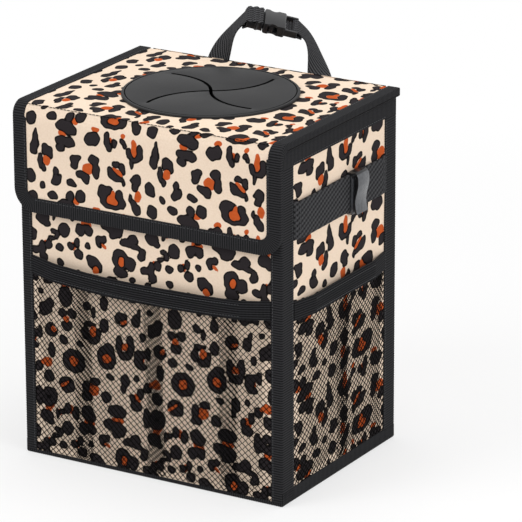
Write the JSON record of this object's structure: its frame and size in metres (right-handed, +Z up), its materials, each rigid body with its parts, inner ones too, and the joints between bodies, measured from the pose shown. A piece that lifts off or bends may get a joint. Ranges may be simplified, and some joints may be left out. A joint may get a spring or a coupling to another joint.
{
  "type": "car trash bin",
  "caption": "Boxy cloth car trash bin with a bound lid and front flap, a slit disc to push rubbish through, net pockets, side clips and a buckled hanging strap.",
  "frame": {"origin": "centre of the base, on the surface that the bin stands on", "axes": "+X to the bin's right as seen from the front, -Y the front with the flap, +Z up"},
  "size_m": [0.2556, 0.2358, 0.3274],
  "materials": {
    "print_cloth": "matte",
    "bottom_cloth": "matte",
    "board": "matte",
    "lining": "satin",
    "binding_tape": "matte",
    "net": "matte",
    "elastic": "matte",
    "webbing": "matte",
    "clip_plastic": "satin",
    "disc_rubber": "matte",
    "touch_fastener": "matte"
  },
  "bodies": {
    "root": {"front_panel": "print_cloth", "back_panel": "print_cloth", "left_panel": "print_cloth", "right_panel": "print_cloth", "bottom_panel": "bottom_cloth", "front_board": "board", "back_board": "board", "left_board": "board", "right_board": "board", "bottom_board": "board", "liner": "lining", "front_left_binding": "binding_tape", "front_right_binding": "binding_tape", "back_left_binding": "binding_tape", "back_right_binding": "binding_tape", "rim_binding": "binding_tape", "base_binding": "binding_tape", "front_pocket_net": "net", "left_pocket_net": "net", "right_pocket_net": "net", "front_elastic": "elastic", "left_elastic": "elastic", "right_elastic": "elastic", "left_webbing": "webbing", "right_webbing": "webbing", "strap_left": "webbing", "strap_right": "webbing", "buckle_plug": "clip_plastic", "front_loop_strip": "touch_fastener"},
    "lid": {"lid_cover": "print_cloth", "lid_board": "board", "lid_lining": "lining", "lid_binding_left": "binding_tape", "lid_binding_right": "binding_tape", "slit_disc": "disc_rubber"},
    "flap": {"flap_cover": "print_cloth", "flap_board": "board", "flap_lining": "lining", "flap_binding": "binding_tape", "flap_hook_strip": "touch_fastener"},
    "left_clip_body": {"left_clip": "clip_plastic"},
    "right_clip_body": {"right_clip": "clip_plastic"},
    "buckle_socket_body": {"buckle_socket": "clip_plastic"}
  },
  "joints": [
    {"name": "lid_hinge", "type": "hinge", "parent": "root", "child": "lid", "pos_m": [0, 0.089, 0.2891], "axis": [-1, 0, 0], "range_deg": [0, 90]},
    {"name": "flap_hinge", "type": "hinge", "parent": "lid", "child": "flap", "pos_m": [0, -0.0934, 0.2791], "axis": [-1, 0, 0], "range_deg": [0, 150]},
    {"name": "left_clip_slide", "type": "slide", "parent": "root", "child": "left_clip_body", "axis": [0, 1, 0], "range_m": [-0.0715, 0.0335]},
    {"name": "right_clip_slide", "type": "slide", "parent": "root", "child": "right_clip_body", "axis": [0, 1, 0], "range_m": [-0.0715, 0.0335]},
    {"name": "buckle_release", "type": "slide", "parent": "root", "child": "buckle_socket_body", "axis": [0.8317, 0.4997, -0.2419], "range_m": [0, 0.024], "deforming": ["strap_right", "buckle_plug"]}
  ]
}
